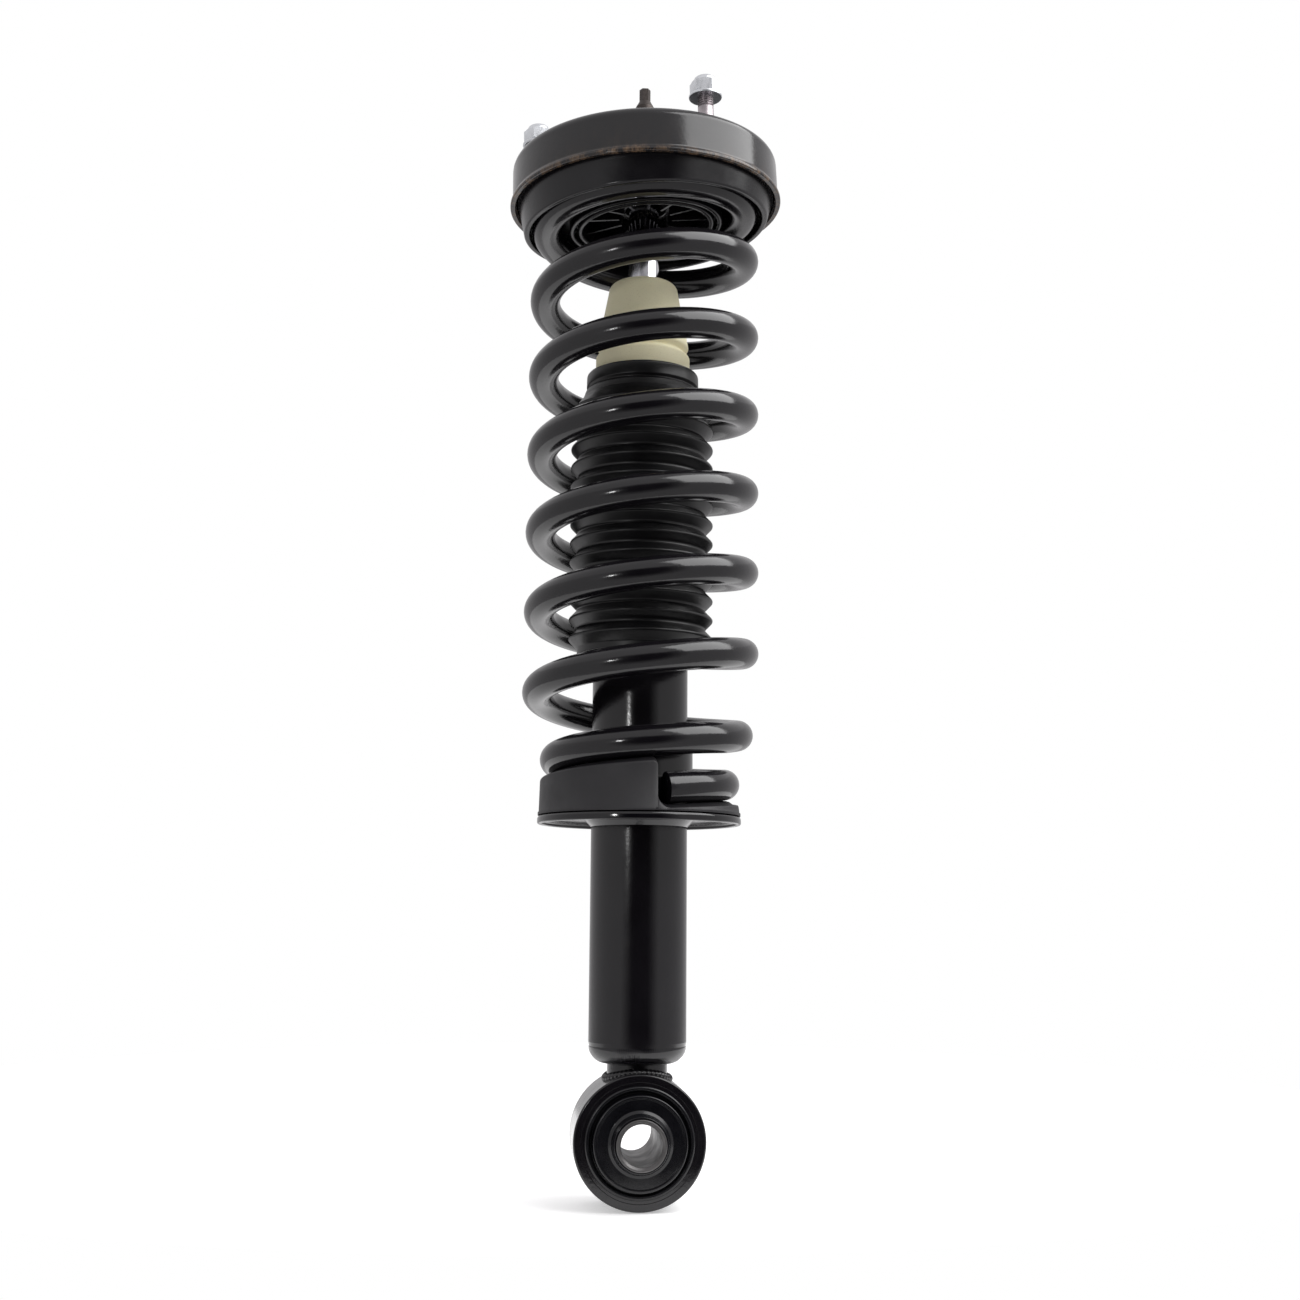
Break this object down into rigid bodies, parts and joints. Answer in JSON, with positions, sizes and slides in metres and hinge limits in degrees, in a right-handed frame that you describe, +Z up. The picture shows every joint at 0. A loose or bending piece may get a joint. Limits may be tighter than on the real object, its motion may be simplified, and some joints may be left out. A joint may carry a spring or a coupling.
{
  "type": "strut assembly",
  "caption": "Front coil-over strut: a twin-tube damper with a rubber bushed lower eye, a black coil spring, a foam bumper with dust boot, and a studded rubber top mount.",
  "frame": {"origin": "centre of the lower eye's bore", "axes": "+Z up the damper's axis towards the top mount, +Y along the eye's bore, +X completes the right-handed frame"},
  "size_m": [0.1785, 0.1786, 0.7197],
  "materials": {
    "black_paint": "semi-gloss black powder coat",
    "gloss_paint": "gloss black paint",
    "housing_rubber": "satin black moulded rubber over steel",
    "isolator_rubber": "matte black moulded rubber",
    "boot_rubber": "matte black thermoplastic rubber",
    "rubber_gloss": "smooth black moulded rubber",
    "seal_rubber": "dark seal rubber",
    "cream_foam": "cream microcellular foam",
    "chrome_rod": "polished hard chrome",
    "zinc": "bright zinc plate",
    "bare_steel": "bare ground steel",
    "sleeve_steel": "dark phosphated steel",
    "sintered_steel": "sintered steel",
    "bronze_ptfe": "bronze with a slippery lining",
    "stop_plastic": "filled nylon"
  },
  "bodies": {
    "bush_sleeve": {"inner_sleeve": "sleeve_steel"},
    "strut_body": {"eye_ring": "black_paint", "outer_sleeve": "black_paint", "bush_rubber": "rubber_gloss", "neck": "black_paint", "eye_weld": "black_paint", "base_cap": "black_paint", "base_weld": "black_paint", "damper_tube": "black_paint", "pressure_tube": "bare_steel", "foot_valve": "sintered_steel", "rod_guide": "sintered_steel", "guide_bush": "bronze_ptfe", "oil_seal": "seal_rubber", "striker_cap": "zinc", "spring_plate": "gloss_paint", "plate_weld": "gloss_paint", "lower_isolator": "isolator_rubber", "coil_spring": "black_paint"},
    "rod_assembly": {"piston_rod": "chrome_rod", "piston": "sintered_steel", "piston_ring": "bronze_ptfe", "bump_discs": "bare_steel", "rebound_discs": "bare_steel", "piston_nut": "zinc", "rebound_stop": "stop_plastic", "mount_core": "bare_steel", "lower_washer": "zinc", "upper_washer": "zinc", "rod_nut": "zinc"},
    "bumper": {"foam_bumper": "cream_foam", "dust_boot": "boot_rubber"},
    "top_mount": {"mount_cap": "black_paint", "mount_rubber": "isolator_rubber", "spring_housing": "housing_rubber", "upper_isolator": "isolator_rubber", "studs": "zinc", "stud_washers": "zinc", "stud_nuts": "zinc"}
  },
  "joints": [
    {"name": "bushing_twist", "type": "hinge", "parent": "bush_sleeve", "child": "strut_body", "pos_m": [0, 0, 0], "axis": [0, 1, 0], "range_deg": [-15, 15], "stiffness_Nm_per_rad": 260},
    {"name": "damper_stroke", "type": "slide", "parent": "strut_body", "child": "rod_assembly", "axis": [0, 0, 1], "range_m": [-0.14, 0], "stiffness_N_per_m": 41000, "springref_m": 0.045, "deforming": ["coil_spring"]},
    {"name": "bumper_slide", "type": "slide", "parent": "rod_assembly", "child": "bumper", "axis": [0, 0, 1], "range_m": [0, 0.0602], "deforming": ["foam_bumper", "dust_boot"]},
    {"name": "mount_rock", "type": "hinge", "parent": "rod_assembly", "child": "top_mount", "pos_m": [0, 0, 0.626], "axis": [0, 1, 0], "range_deg": [-1.5, 1.5], "stiffness_Nm_per_rad": 600}
  ],
  "couplings": [
    {"joint": "bumper_slide", "follows": "damper_stroke", "ratio": -0.43}
  ]
}
